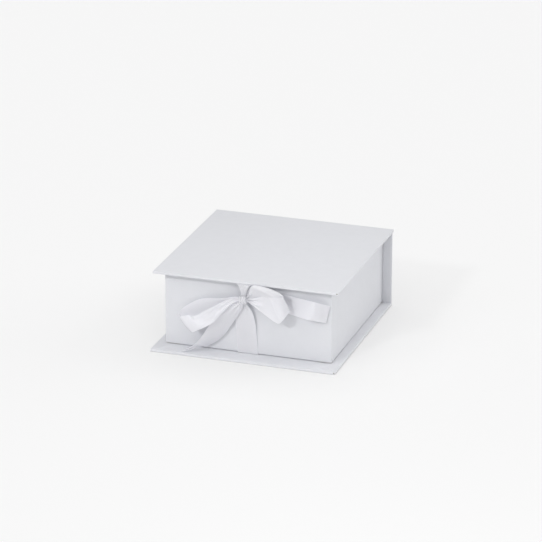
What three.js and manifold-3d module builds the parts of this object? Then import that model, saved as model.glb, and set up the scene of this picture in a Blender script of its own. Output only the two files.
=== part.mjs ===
// Photo box: a paper-covered rigid box of the book style, tied shut with a satin bow.
//
// The case is three greyboards, base, spine and lid, wrapped in white paper that also makes the
// hinge at the rear top edge. A tray of five boards, wrapped and lined with paper, is glued to the
// base and to the spine. A ribbon under the lid's lining and a ribbon under the tray are tied in a
// bow in front of the tray.
//
// Millimetres, +Z up. The origin is the centre of the base's underside, the front faces -Y.

import * as THREE from "three";
import Module from "manifold-3d";
import { mergeVertices } from "three/addons/utils/BufferGeometryUtils.js";

// Overall sizes, measured over the covering paper
const BOX_WIDTH = 185;
const BOX_HEIGHT = 80.5;
const BASE_DEPTH = 190;
const LID_DEPTH = 184.5; // from the lid's front edge to the spine's outer face
const LID_DRIFT = 1.5; // the lid has settled this far to the right on its paper hinge
const SIDE_MARGIN = 9; // the base stands out past the tray's sides
const FRONT_MARGIN = 19; // and past its front

// Sheet materials
const BOARD = 2; // greyboard
const PAPER = 0.2; // covering and lining papers
const STAY_TAPE = 0.15; // paper tape round the tray's corners
const GLUE = 0.05; // a dried line of glue between two layers
const BUTT_GAP = 0.1; // between boards that meet edge to edge

// Folds and edges of the papers
const TURN_IN = 22; // covering paper folded over the edges of the case boards
const MITRE_SLIT = 0.3; // the open line where two turn-ins meet at a corner
const RIM_TURN_IN = 18; // tray paper folded over the rim and down inside
const FOOT_TURN_IN = 15; // tray paper folded under the bottom
const LINING_INSET = 3.5; // the lid's and spine's linings stop short of the edges
const LINING_BELOW_RIM = 3; // the tray's lining stops short of the rim
const STAY_LEG = 14; // each corner stay reaches this far along both walls

// The hinge
const JOINT_GAP = 1.6; // from the spine's outer face to the lid board's rear edge
const CREASE_HOLLOW = 0.35; // the crease is pressed in this far between the boards
const CREASE_ROOM = 0.7; // the spine's paper ends this far below the hinge, for the crease to fold over
const REST_GAP = 0.3; // between the closed lid and what it rests on

// Ribbons
const RIBBON_WIDTH = 20;
const RIBBON = 0.3; // satin
const RIBBON_SLACK = 0.1; // on each side of a ribbon that lies between two layers
const RIBBON_SIDE_SLACK = 0.5; // beside a ribbon in its place under the lining
const ANCHOR_LENGTH = 30; // a ribbon's glued end
const PLEAT_DEPTH = 2.2; // depth of the folds where a ribbon is gathered to nothing
const PLEATS = 2; // full folds across a gathered ribbon
const KNOT_CLEARANCE = 0.3; // between the knot and the ribbons that leave it

const TURN_ROOM = 5; // the upper ribbon turns down at least this far in front of the tray

// The knot: a core drawn in at its sides and one turn of ribbon over it
const KNOT_SIDE = -1.5; // its centre lies left of the middle
const KNOT_OUT = 8.1; // and this far in front of a ribbon that lies on the tray's wall
const KNOT_DROP = 17.4; // and this far under the lid
const KNOT_RADII = new THREE.Vector3(5.2, 4, 3.9);
const KNOT_TURN_WIDTH = 6.4;
const KNOT_TURN_RADIUS = 4.7;
const KNOT_TURN_LEAN = 0.3; // radians, the turn crosses the knot at a slant

// How finely curved forms are divided
const ACROSS_STEPS = 8;
const STEPS_PER_STATION = 3;
const ROUND_STEPS = 18;
const OVERSHOOT = 1; // a cutting block stands out past what it cuts

// Sizes that follow
const COVERED = PAPER + GLUE + BOARD + GLUE + PAPER; // a board with paper on both sides
const HALF_WIDTH = BOX_WIDTH / 2;
const FRONT = -BASE_DEPTH / 2;
const REAR = BASE_DEPTH / 2;
const SKIN = PAPER + GLUE;

const TRAY_LIFT = RIBBON + 2 * RIBBON_SLACK; // the lower ribbon lies under the tray
const TRAY_BOTTOM = COVERED + TRAY_LIFT;
const TRAY_HALF = HALF_WIDTH - SIDE_MARGIN;
const TRAY_FRONT = FRONT + FRONT_MARGIN;
const SPINE_INNER = REAR - COVERED - GLUE - PAPER; // face of the spine's lining
const TRAY_REAR = SPINE_INNER - GLUE;
const TRAY_SKIN = PAPER + GLUE + STAY_TAPE + GLUE; // from the tray's outer face to its boards
const WALL = TRAY_SKIN + BOARD + GLUE + PAPER; // a tray wall with its papers, at the rim

const LID_UNDER = BOX_HEIGHT - COVERED;
const LID_FRONT = REAR - LID_DEPTH;
const LID_REAR = REAR - JOINT_GAP;
const LINING_UNDER = LID_UNDER - SKIN;
const RIBBON_POCKET = RIBBON + 2 * RIBBON_SLACK;
const POCKET_UNDER = LID_UNDER - RIBBON_POCKET - PAPER;
const TRAY_RIM = POCKET_UNDER - REST_GAP;
const SPINE_TOP = LINING_UNDER - REST_GAP; // over the lining that wraps the spine's top edge
const HINGE = { y: REAR - PAPER / 2, z: LID_UNDER };

const HALF_RIBBON = RIBBON_WIDTH / 2;
const UNDER_TRAY = COVERED + RIBBON_SLACK + RIBBON / 2; // middle of a ribbon that lies under the tray
const UNDER_LID = LID_UNDER - RIBBON_SLACK - RIBBON / 2; // or under the lid
const ON_WALL = TRAY_FRONT - RIBBON_SLACK - RIBBON; // or against the tray's front
const TURN_DOWN = Math.min(LID_FRONT, TRAY_FRONT - TURN_ROOM);
const KNOT_CENTRE = new THREE.Vector3(KNOT_SIDE, ON_WALL - KNOT_OUT, LID_UNDER - KNOT_DROP);

// Colours: white paper, white satin, and the greyboard that nothing outside shows
const coverPaper = new THREE.MeshStandardMaterial({ color: "#e1e4ea", roughness: 0.85, metalness: 0 });
const liningPaper = new THREE.MeshStandardMaterial({ color: "#e6e7ea", roughness: 0.9, metalness: 0 });
const stayTape = new THREE.MeshStandardMaterial({ color: "#d8d4c8", roughness: 0.9, metalness: 0 });
const greyboard = new THREE.MeshStandardMaterial({ color: "#9a958c", roughness: 0.95, metalness: 0 });
const satin = new THREE.MeshStandardMaterial({ color: "#e9ebf1", roughness: 0.35, metalness: 0 });

const wasm = await Module();
wasm.setup();

const box = new THREE.Group();
const lid = new THREE.Group();
lid.position.set(LID_DRIFT, 0, 0);
box.add(lid);

function place(parent, name, geometry, material) {
  const mesh = new THREE.Mesh(geometry, material);
  mesh.name = name;
  parent.add(mesh);
}

function toSolid(geometry) {
  const bare = geometry.clone();
  bare.deleteAttribute("normal");
  bare.deleteAttribute("uv");
  const merged = mergeVertices(bare, 1e-5);
  return new wasm.Manifold(new wasm.Mesh({
    numProp: 3,
    vertProperties: new Float32Array(merged.attributes.position.array),
    triVerts: new Uint32Array(merged.index.array),
  }));
}

function toGeometry(solid) {
  const mesh = solid.getMesh();
  const geometry = new THREE.BufferGeometry();
  geometry.setAttribute("position", new THREE.BufferAttribute(mesh.vertProperties, 3));
  geometry.setIndex(new THREE.BufferAttribute(mesh.triVerts, 1));
  return geometry;
}

// A block between two corners
function block(x0, x1, y0, y1, z0, z1) {
  const geometry = new THREE.BoxGeometry(x1 - x0, y1 - y0, z1 - z0);
  geometry.translate((x0 + x1) / 2, (y0 + y1) / 2, (z0 + z1) / 2);
  return geometry;
}

function cutter(...corners) {
  return toSolid(block(...corners));
}

// A section drawn in the Y-Z plane, drawn out along X over the given width
function alongX(shape, width) {
  const geometry = new THREE.ExtrudeGeometry(shape, {
    depth: width,
    bevelEnabled: false,
    curveSegments: ROUND_STEPS / 3,
  });
  const turn = new THREE.Matrix4().makeBasis(
    new THREE.Vector3(0, 1, 0),
    new THREE.Vector3(0, 0, 1),
    new THREE.Vector3(1, 0, 0),
  );
  geometry.applyMatrix4(turn);
  geometry.translate(-width / 2, 0, 0);
  return geometry;
}

// The covering paper of one case board, lying with its outer face on z = 0 and running from y = start
// to y = end. It folds up round both sides, and round the ends that are asked for. The turn-ins
// lie on the board's inner face and meet at the front corners in mitres.
function boardWrap({ start, end, frontFold, backFold }) {
  const lowY = frontFold ? start + PAPER : start - OVERSHOOT;
  const highY = backFold ? end - PAPER : end + OVERSHOOT;
  const windowLowY = frontFold ? start + TURN_IN : start - OVERSHOOT;
  const inner = COVERED - PAPER;
  const sheet = cutter(-HALF_WIDTH, HALF_WIDTH, start, end, 0, COVERED);
  const board = cutter(-HALF_WIDTH + PAPER, HALF_WIDTH - PAPER, lowY, highY, PAPER, inner);
  const opening = cutter(-HALF_WIDTH + TURN_IN, HALF_WIDTH - TURN_IN,
    windowLowY, end + OVERSHOOT, inner - OVERSHOOT, COVERED + OVERSHOOT);
  let wrap = sheet.subtract(board).subtract(opening);
  if (frontFold) {
    for (const side of [-1, 1]) {
      wrap = wrap.subtract(mitreSlit(side, start, inner));
    }
  }
  return toGeometry(wrap);
}

function mitreSlit(side, start, inner) {
  const length = (TURN_IN + OVERSHOOT) * 2 * Math.SQRT2;
  const slit = new THREE.BoxGeometry(length, MITRE_SLIT, 2 * OVERSHOOT);
  slit.rotateZ(side * -Math.PI / 4);
  slit.translate(side * HALF_WIDTH, start, inner + OVERSHOOT);
  return toSolid(slit);
}

// The base: a board in its paper, whose rear edge the paper passes on its way up the spine
function makeBase() {
  const paper = boardWrap({ start: FRONT, end: REAR, frontFold: true, backFold: true });
  place(box, "base_cover_paper", paper, coverPaper);
  const board = block(-HALF_WIDTH + SKIN, HALF_WIDTH - SKIN, FRONT + SKIN, REAR - SKIN, SKIN, SKIN + BOARD);
  place(box, "base_board", board, greyboard);
}

// The spine: it stands on the base's rear edge, and its lining also wraps its top edge
function makeSpine() {
  const foot = COVERED + GLUE;
  const paperTop = LID_UNDER - CREASE_ROOM;
  const boardTop = SPINE_TOP - SKIN;
  const wrap = boardWrap({ start: foot, end: paperTop, frontFold: false, backFold: false });
  wrap.rotateX(Math.PI / 2);
  wrap.translate(0, REAR, 0);
  const overTheEdge = cutter(-HALF_WIDTH + PAPER, HALF_WIDTH - PAPER,
    REAR - COVERED - OVERSHOOT, REAR - PAPER, boardTop, paperTop + OVERSHOOT);
  place(box, "spine_cover_paper", toGeometry(toSolid(wrap).subtract(overTheEdge)), coverPaper);

  const board = block(-HALF_WIDTH + SKIN, HALF_WIDTH - SKIN,
    REAR - SKIN - BOARD, REAR - SKIN, foot, boardTop);
  place(box, "spine_board", board, greyboard);

  const liningHalf = HALF_WIDTH - LINING_INSET;
  const inside = REAR - COVERED - GLUE;
  const lining = new THREE.Shape();
  lining.moveTo(inside - PAPER, foot);
  lining.lineTo(inside, foot);
  lining.lineTo(inside, SPINE_TOP - PAPER);
  lining.lineTo(REAR - SKIN, SPINE_TOP - PAPER);
  lining.lineTo(REAR - SKIN, SPINE_TOP);
  lining.lineTo(inside - PAPER, SPINE_TOP);
  place(box, "spine_lining", alongX(lining, 2 * liningHalf), liningPaper);
}

// The lid: the same wrap turned over, a lining with a raised pocket over the ribbon's glued end,
// and the crease that leads from the lid's rear edge down to the spine
function makeLid() {
  const paper = boardWrap({ start: LID_FRONT, end: LID_REAR, frontFold: true, backFold: false });
  paper.rotateY(Math.PI);
  paper.translate(0, 0, BOX_HEIGHT);
  place(lid, "lid_cover_paper", paper, coverPaper);

  const board = block(-HALF_WIDTH + SKIN, HALF_WIDTH - SKIN,
    LID_FRONT + SKIN, LID_REAR, LID_UNDER + SKIN, BOX_HEIGHT - SKIN);
  place(lid, "lid_board", board, greyboard);

  const half = HALF_WIDTH - LINING_INSET;
  const front = LID_FRONT + LINING_INSET;
  const slotHalf = RIBBON_WIDTH / 2 + RIBBON_SIDE_SLACK;
  const slotRear = front + ANCHOR_LENGTH + RIBBON_SIDE_SLACK;
  const slotLeft = -LID_DRIFT - slotHalf;
  const slotRight = -LID_DRIFT + slotHalf;
  const lining = cutter(-half, half, front, LID_REAR, LINING_UNDER, LID_UNDER - GLUE)
    .add(cutter(slotLeft - PAPER, slotRight + PAPER, front, slotRear + PAPER, POCKET_UNDER, LID_UNDER - GLUE))
    .subtract(cutter(slotLeft, slotRight, front - OVERSHOOT, slotRear, POCKET_UNDER + PAPER, LID_UNDER));
  place(lid, "lid_lining", toGeometry(lining), liningPaper);

  const creaseFoot = HINGE.z + GLUE;
  const creaseHead = LID_REAR + GLUE;
  const midY = (HINGE.y + creaseHead) / 2 - CREASE_HOLLOW;
  const midZ = (creaseFoot + BOX_HEIGHT) / 2 - CREASE_HOLLOW;
  const crease = new THREE.Shape();
  crease.moveTo(HINGE.y + PAPER / 2, creaseFoot);
  crease.quadraticCurveTo(midY + PAPER / 2, midZ, creaseHead, BOX_HEIGHT);
  crease.lineTo(creaseHead, BOX_HEIGHT - PAPER);
  crease.quadraticCurveTo(midY - PAPER / 2, midZ - PAPER, HINGE.y - PAPER / 2, creaseFoot);
  place(lid, "lid_crease", alongX(crease, BOX_WIDTH), coverPaper);
}

// The tray's boards: a floor with four walls round it. Front and rear run the full width.
function makeTrayBoards() {
  const bottom = TRAY_BOTTOM + SKIN;
  const top = TRAY_RIM - SKIN;
  const x = TRAY_HALF - TRAY_SKIN;
  const front = TRAY_FRONT + TRAY_SKIN;
  const rear = TRAY_REAR - TRAY_SKIN;
  const between = BOARD + BUTT_GAP;
  place(box, "tray_front_wall", block(-x, x, front, front + BOARD, bottom, top), greyboard);
  place(box, "tray_rear_wall", block(-x, x, rear - BOARD, rear, bottom, top), greyboard);
  const sideFront = front + between;
  const sideRear = rear - between;
  place(box, "tray_left_wall", block(-x, -x + BOARD, sideFront, sideRear, bottom, top), greyboard);
  place(box, "tray_right_wall", block(x - BOARD, x, sideFront, sideRear, bottom, top), greyboard);
  place(box, "tray_floor_board",
    block(-x + between, x - between, sideFront, sideRear, bottom, bottom + BOARD), greyboard);
}

// Paper tape round the outside of each corner, from the foot to the rim
function makeCornerStays() {
  const outer = TRAY_SKIN - GLUE;
  const corners = [
    ["corner_stay_front_left", -1, TRAY_FRONT, 1],
    ["corner_stay_front_right", 1, TRAY_FRONT, 1],
    ["corner_stay_rear_left", -1, TRAY_REAR, -1],
    ["corner_stay_rear_right", 1, TRAY_REAR, -1],
  ];
  for (const [name, side, end, inward] of corners) {
    const x = side * (TRAY_HALF - outer + STAY_TAPE);
    const y = end + inward * (outer - STAY_TAPE);
    const shape = new THREE.Shape();
    shape.moveTo(x, y);
    shape.lineTo(x - side * STAY_LEG, y);
    shape.lineTo(x - side * STAY_LEG, y + inward * STAY_TAPE);
    shape.lineTo(x - side * STAY_TAPE, y + inward * STAY_TAPE);
    shape.lineTo(x - side * STAY_TAPE, y + inward * STAY_LEG);
    shape.lineTo(x, y + inward * STAY_LEG);
    const height = TRAY_RIM - TRAY_BOTTOM - 2 * SKIN;
    const stay = new THREE.ExtrudeGeometry(shape, { depth: height, bevelEnabled: false });
    stay.translate(0, 0, TRAY_BOTTOM + SKIN);
    place(box, name, stay, stayTape);
  }
}

// A block with the same outline as the tray, drawn in by the given distance
function trayBlock(inset, z0, z1) {
  return cutter(-TRAY_HALF + inset, TRAY_HALF - inset, TRAY_FRONT + inset, TRAY_REAR - inset, z0, z1);
}

// The tray's papers: the wrap goes up the walls, over the rim and down inside, and under the
// bottom. The lining is one open box of paper over the floor and the walls.
function makeTrayPapers() {
  const outside = trayBlock(0, TRAY_BOTTOM, TRAY_RIM).subtract(
    trayBlock(PAPER, TRAY_BOTTOM - OVERSHOOT, TRAY_RIM + OVERSHOOT));
  const rim = trayBlock(0, TRAY_RIM - PAPER, TRAY_RIM).subtract(
    trayBlock(WALL, TRAY_RIM - OVERSHOOT, TRAY_RIM + OVERSHOOT));
  const inside = trayBlock(WALL - PAPER, TRAY_RIM - RIM_TURN_IN, TRAY_RIM).subtract(
    trayBlock(WALL, TRAY_RIM - RIM_TURN_IN - OVERSHOOT, TRAY_RIM + OVERSHOOT));
  const foot = trayBlock(0, TRAY_BOTTOM, TRAY_BOTTOM + PAPER).subtract(
    trayBlock(FOOT_TURN_IN, TRAY_BOTTOM - OVERSHOOT, TRAY_BOTTOM + OVERSHOOT));
  const wrap = outside.add(rim).add(inside).add(foot);
  place(box, "tray_cover_paper", toGeometry(wrap), coverPaper);

  const floor = TRAY_BOTTOM + SKIN + BOARD + GLUE;
  const liningTop = TRAY_RIM - LINING_BELOW_RIM;
  const lining = trayBlock(WALL + GLUE, floor, liningTop).subtract(
    trayBlock(WALL + SKIN, floor + PAPER, liningTop + OVERSHOOT));
  place(box, "tray_lining", toGeometry(lining), liningPaper);
}

// A ribbon runs between two edges, each a smooth curve through its points. It bows by its cup
// between them, and where the edges come together it is gathered into pleats. Its end sections
// are flat cuts.
function ribbonGeometry({ edgeA, edgeB, cup }) {
  const curveA = edgeCurve(edgeA);
  const curveB = edgeCurve(edgeB);
  const steps = (edgeA.length - 1) * STEPS_PER_STATION;
  const rows = ACROSS_STEPS + 1;
  const middle = [];
  for (let i = 0; i <= steps; i += 1) {
    middle.push(ribbonSection(curveA, curveB, i / steps, cup));
  }
  const points = [];
  const normals = surfaceNormals(middle);
  for (const side of [1, -1]) {
    middle.forEach((section, i) => section.forEach((point, j) => {
      points.push(point.clone().addScaledVector(normals[i][j], side * RIBBON / 2));
    }));
  }
  const back = (steps + 1) * rows;
  const faces = [];
  const quad = (a, b, c, d) => faces.push(a, b, c, a, c, d);
  for (let i = 0; i < steps; i += 1) {
    const here = i * rows;
    const next = here + rows;
    for (let j = 0; j < ACROSS_STEPS; j += 1) {
      quad(here + j, next + j, next + j + 1, here + j + 1);
      quad(back + here + j, back + here + j + 1, back + next + j + 1, back + next + j);
    }
    const last = ACROSS_STEPS;
    quad(here, back + here, back + next, next);
    quad(here + last, next + last, back + next + last, back + here + last);
  }
  const end = steps * rows;
  for (let j = 0; j < ACROSS_STEPS; j += 1) {
    quad(j, j + 1, back + j + 1, back + j);
    quad(end + j, back + end + j, back + end + j + 1, end + j + 1);
  }
  const geometry = new THREE.BufferGeometry();
  geometry.setAttribute("position", new THREE.Float32BufferAttribute(points.flatMap((p) => p.toArray()), 3));
  geometry.setIndex(faces);
  return geometry;
}

function edgeCurve(points) {
  const list = points.map(([x, y, z]) => new THREE.Vector3(x, y, z));
  return new THREE.CatmullRomCurve3(list, false, "centripetal");
}

// The points across a ribbon at the share t of its length
function ribbonSection(curveA, curveB, t, cup) {
  const a = curveA.getPoint(t);
  const b = curveB.getPoint(t);
  const across = new THREE.Vector3().subVectors(a, b);
  const along = new THREE.Vector3().addVectors(curveA.getTangent(t), curveB.getTangent(t));
  const face = new THREE.Vector3().crossVectors(along, across).normalize();
  const gathered = Math.max(0, 1 - across.length() / RIBBON_WIDTH);
  const pleat = PLEAT_DEPTH * gathered * gathered;
  const bow = cup * Math.sin(Math.PI * t);
  const section = [];
  for (let j = 0; j <= ACROSS_STEPS; j += 1) {
    const v = j / ACROSS_STEPS;
    const lift = bow * 4 * v * (1 - v) + pleat * Math.sin(2 * Math.PI * PLEATS * v);
    section.push(new THREE.Vector3().lerpVectors(b, a, v).addScaledVector(face, lift));
  }
  return section;
}

// The direction square to the ribbon at each of its points
function surfaceNormals(grid) {
  const lastRow = grid.length - 1;
  const lastColumn = grid[0].length - 1;
  return grid.map((section, i) => section.map((point, j) => {
    const along = new THREE.Vector3().subVectors(grid[Math.min(i + 1, lastRow)][j], grid[Math.max(i - 1, 0)][j]);
    const across = new THREE.Vector3().subVectors(
      section[Math.min(j + 1, lastColumn)], section[Math.max(j - 1, 0)]);
    return new THREE.Vector3().crossVectors(along, across).normalize();
  }));
}

// The knot, swollen by a clearance where it serves to cut the ribbons
function knotSolid(swell) {
  const core = new THREE.SphereGeometry(1, ROUND_STEPS, ROUND_STEPS / 2);
  core.scale(KNOT_RADII.x + swell, KNOT_RADII.y + swell, KNOT_RADII.z + swell);
  const half = KNOT_TURN_WIDTH / 2 + swell;
  const radius = KNOT_TURN_RADIUS + swell;
  const profile = [
    new THREE.Vector2(0, -half),
    new THREE.Vector2(radius * 0.8, -half),
    new THREE.Vector2(radius, -half / 2),
    new THREE.Vector2(radius * 0.94, 0),
    new THREE.Vector2(radius, half / 2),
    new THREE.Vector2(radius * 0.8, half),
    new THREE.Vector2(0, half),
  ];
  const turn = new THREE.LatheGeometry(profile, ROUND_STEPS);
  turn.rotateZ(Math.PI / 2 + KNOT_TURN_LEAN);
  return toSolid(core).add(toSolid(turn)).translate(KNOT_CENTRE.toArray());
}

// Points measured from the knot's centre
function byKnot(points) {
  return points.map(([x, y, z]) => [KNOT_CENTRE.x + x, KNOT_CENTRE.y + y, KNOT_CENTRE.z + z]);
}

// Points between the tray and the knot: along X from the knot, then the share of the knot's way out
// from the tray's front, then the share of its height over the base
function hung(points) {
  const outTo = KNOT_CENTRE.y - ON_WALL;
  const upTo = KNOT_CENTRE.z - UNDER_TRAY;
  return points.map(([x, out, up]) => [KNOT_CENTRE.x + x, ON_WALL + out * outTo, UNDER_TRAY + up * upTo]);
}

// The two ribbons from their glued ends to the knot, each with its left and right edge
const lowerRibbon = {
  edgeA: [
    [-HALF_RIBBON, TRAY_FRONT + ANCHOR_LENGTH, UNDER_TRAY],
    [-HALF_RIBBON, TRAY_FRONT + 6, UNDER_TRAY],
    [-HALF_RIBBON, TRAY_FRONT + 0.6, UNDER_TRAY],
    [-HALF_RIBBON, TRAY_FRONT - 0.3, UNDER_TRAY + 0.12],
    [-HALF_RIBBON, ON_WALL, UNDER_TRAY + 1.2],
    ...hung([
      [-9.3, 0, 0.108],
      [-9.9, 0.05, 0.315],
      [-10, 0.26, 0.575],
      [-9, 0.44, 0.748],
      [-4, 0.75, 0.895],
      [-1, 0.94, 0.99],
    ]),
  ],
  edgeB: [
    [HALF_RIBBON, TRAY_FRONT + ANCHOR_LENGTH, UNDER_TRAY],
    [HALF_RIBBON, TRAY_FRONT + 6, UNDER_TRAY],
    [HALF_RIBBON, TRAY_FRONT + 0.6, UNDER_TRAY],
    [HALF_RIBBON, TRAY_FRONT - 0.3, UNDER_TRAY + 0.12],
    [HALF_RIBBON, ON_WALL, UNDER_TRAY + 1.2],
    ...hung([
      [11.3, 0, 0.108],
      [10.5, 0.05, 0.333],
      [9.5, 0.3, 0.592],
      [7, 0.51, 0.782],
      [3, 0.75, 0.912],
      [1, 0.94, 0.99],
    ]),
  ],
  cup: 0,
};
const upperRibbon = {
  edgeA: [
    [-HALF_RIBBON, LID_FRONT + LINING_INSET + ANCHOR_LENGTH, UNDER_LID],
    [-HALF_RIBBON, TURN_DOWN + 4.2, UNDER_LID],
    [-9.4, TURN_DOWN + 3, UNDER_LID],
    [-6.4, TURN_DOWN + 1.2, UNDER_LID - 0.8],
    [-4.6, TURN_DOWN + 1, UNDER_LID - 3.3],
    ...byKnot([
      [-2.1, -2.7, 8.9],
      [-1.7, -1.1, 4.4],
      [-1, 0, 0.4],
    ]),
  ],
  edgeB: [
    [HALF_RIBBON, LID_FRONT + LINING_INSET + ANCHOR_LENGTH, UNDER_LID],
    [HALF_RIBBON, TURN_DOWN + 4.2, UNDER_LID],
    [HALF_RIBBON, TURN_DOWN + 3, UNDER_LID],
    [6.6, TURN_DOWN + 1.1, UNDER_LID - 0.8],
    [4.9, TURN_DOWN + 0.5, UNDER_LID - 3.2],
    ...byKnot([
      [4.1, -3.8, 9.2],
      [2.3, -2.1, 4.4],
      [1, 0, 0.4],
    ]),
  ],
  cup: 0,
};

// The bow's loops and tails, each from the knot outwards, with its upper and lower edge
const leftLoop = {
  edgeA: byKnot([
    [0.5, 1.3, 0.9],
    [-10.5, 2.3, 0.6],
    [-20.6, 3.3, -2.2],
    [-29.4, 3.9, -3.8],
    [-38, 4, -4.6],
    [-48.1, 4, -7.8],
    [-55.9, 4, -12.6],
    [-61.1, 3.5, -16.5],
    [-64.1, 2, -19.6],
    [-65, -0.3, -22.3],
    [-63.3, -2.5, -24],
    [-58.3, -3.9, -22.1],
    [-53.2, -4.3, -20.9],
    [-50.7, -4.3, -21.8],
    [-45.4, -4, -20],
    [-37.9, -3.5, -14.8],
    [-30.4, -3.3, -10.1],
    [-22.9, -3.1, -5.4],
    [-15.5, -2.7, -0.6],
    [-8.8, -1.9, 2.4],
    [0.1, -1, 1.9],
  ]),
  edgeB: byKnot([
    [0.1, 1.3, -0.8],
    [-8.4, 2.3, -4.8],
    [-17, 3.3, -13.5],
    [-24.6, 3.9, -20.9],
    [-31.4, 4, -23.9],
    [-40, 4, -27.5],
    [-46, 3.5, -31.3],
    [-49, 1.5, -34.3],
    [-50.7, -1.5, -36.4],
    [-50.4, -5.5, -37],
    [-48.3, -8.5, -36.2],
    [-44.2, -10.1, -33.6],
    [-40.2, -10.3, -31.4],
    [-36.8, -10.1, -29.6],
    [-33, -9.8, -27.4],
    [-28, -9.1, -23.8],
    [-23, -8.1, -18.3],
    [-18.1, -6.7, -12.3],
    [-11.6, -5.3, -5.5],
    [-6.3, -3.7, -1.8],
    [0.5, -1.5, 0.2],
  ]),
  cup: 1.2,
};
const rightLoop = {
  edgeA: byKnot([
    [2, 0.1, 1.7],
    [4.3, -4, 8.1],
    [6.6, -6.1, 14.4],
    [11, -6.5, 17.8],
    [20.3, -6.5, 18.1],
    [28.7, -6.5, 16.7],
    [36, -6.1, 14.3],
    [40, -5.9, 12.1],
    [41, -6.5, 10.5],
    [39.1, -7.3, 8.2],
    [36.4, -7.9, 6.1],
    [35.2, -7.8, 5.6],
    [32.5, -7.1, 5.8],
    [29.2, -6.1, 6.9],
    [23.4, -5.1, 7.8],
    [17.1, -4.1, 5.9],
    [9.4, -2.9, 3.2],
    [3.3, -1.5, 1.3],
  ]),
  edgeB: byKnot([
    [1, 0.5, 0],
    [4.8, -0.4, 0.2],
    [9, -0.5, 0.6],
    [14.7, 0, -0.6],
    [22.2, 0.5, -2.4],
    [30.4, 1.2, -4.7],
    [38.8, 1.3, -6.4],
    [45.2, 0.3, -5],
    [47, -1.5, -5],
    [45.5, -4.1, -7.4],
    [43.2, -6.7, -11.2],
    [41.3, -7.3, -13.6],
    [37.6, -7.1, -17.1],
    [31.5, -6.9, -15],
    [24.1, -6.3, -10.7],
    [16.8, -5.1, -6.7],
    [9.5, -3.7, -2.9],
    [3.7, -1.8, -0.1],
  ]),
  cup: 0,
};
const leftTail = {
  edgeA: hung([
    [-1.6, 1.14, 0.979],
    [-8.3, 1.21, 0.943],
    [-15, 1.3, 0.862],
    [-21.4, 1.42, 0.751],
    [-27.5, 1.54, 0.62],
    [-33.4, 1.63, 0.488],
    [-38.9, 1.73, 0.334],
    [-45.5, 1.83, 0.179],
    [-53, 2, 0.077],
    [-61.1, 2.2, 0.004],
  ]),
  edgeB: hung([
    [0.3, 1.14, 0.959],
    [-1, 1.06, 0.867],
    [-5.8, 0.69, 0.722],
    [-10.3, 0.52, 0.589],
    [-15, 0.38, 0.462],
    [-21.4, 0.32, 0.298],
    [-28.9, 0.35, 0.169],
    [-37.1, 0.49, 0.087],
    [-43.2, 0.74, 0.061],
    [-50.6, 1.04, 0.03],
  ]),
  cup: -0.5,
};
const rightTail = {
  edgeA: hung([
    [1.3, 0.81, 0.995],
    [14.4, 0.52, 1.114],
    [28.3, 0.32, 1.137],
    [41.6, 0.2, 1.121],
    [51.4, 0.22, 1.099],
    [59.4, 0.47, 1.095],
    [66, 0.74, 1.099],
    [70.4, 0.8, 1.092],
    [74.5, 0.64, 1.071],
    [79.3, 0.35, 1.041],
    [83.5, 0.12, 1.017],
  ]),
  edgeB: hung([
    [1.3, 0.81, 0.978],
    [13.8, 0.52, 0.926],
    [28.9, 0.32, 0.841],
    [40.7, 0.2, 0.806],
    [50.1, 0.22, 0.782],
    [58.4, 0.52, 0.774],
    [64.8, 0.84, 0.774],
    [69.1, 0.91, 0.77],
    [73, 0.74, 0.755],
    [76.5, 0.43, 0.734],
    [79.9, 0.17, 0.717],
  ]),
  cup: 0.6,
};

// Every ribbon is cut back to the knot's face
function makeTie() {
  const cut = knotSolid(KNOT_CLEARANCE);
  const tied = (ribbon) => toSolid(ribbonGeometry(ribbon)).subtract(cut);
  const onLid = tied(upperRibbon).translate([-LID_DRIFT, 0, 0]);
  place(box, "bow_knot", toGeometry(knotSolid(0)), satin);
  place(box, "lower_ribbon", toGeometry(tied(lowerRibbon)), satin);
  place(lid, "upper_ribbon", toGeometry(onLid), satin);
  place(box, "bow_left_loop", toGeometry(tied(leftLoop)), satin);
  place(box, "bow_right_loop", toGeometry(tied(rightLoop)), satin);
  place(box, "bow_left_tail", toGeometry(tied(leftTail)), satin);
  place(box, "bow_right_tail", toGeometry(tied(rightTail)), satin);
}

makeBase();
makeSpine();
makeLid();
makeTrayBoards();
makeCornerStays();
makeTrayPapers();
makeTie();

export default box;
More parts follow.
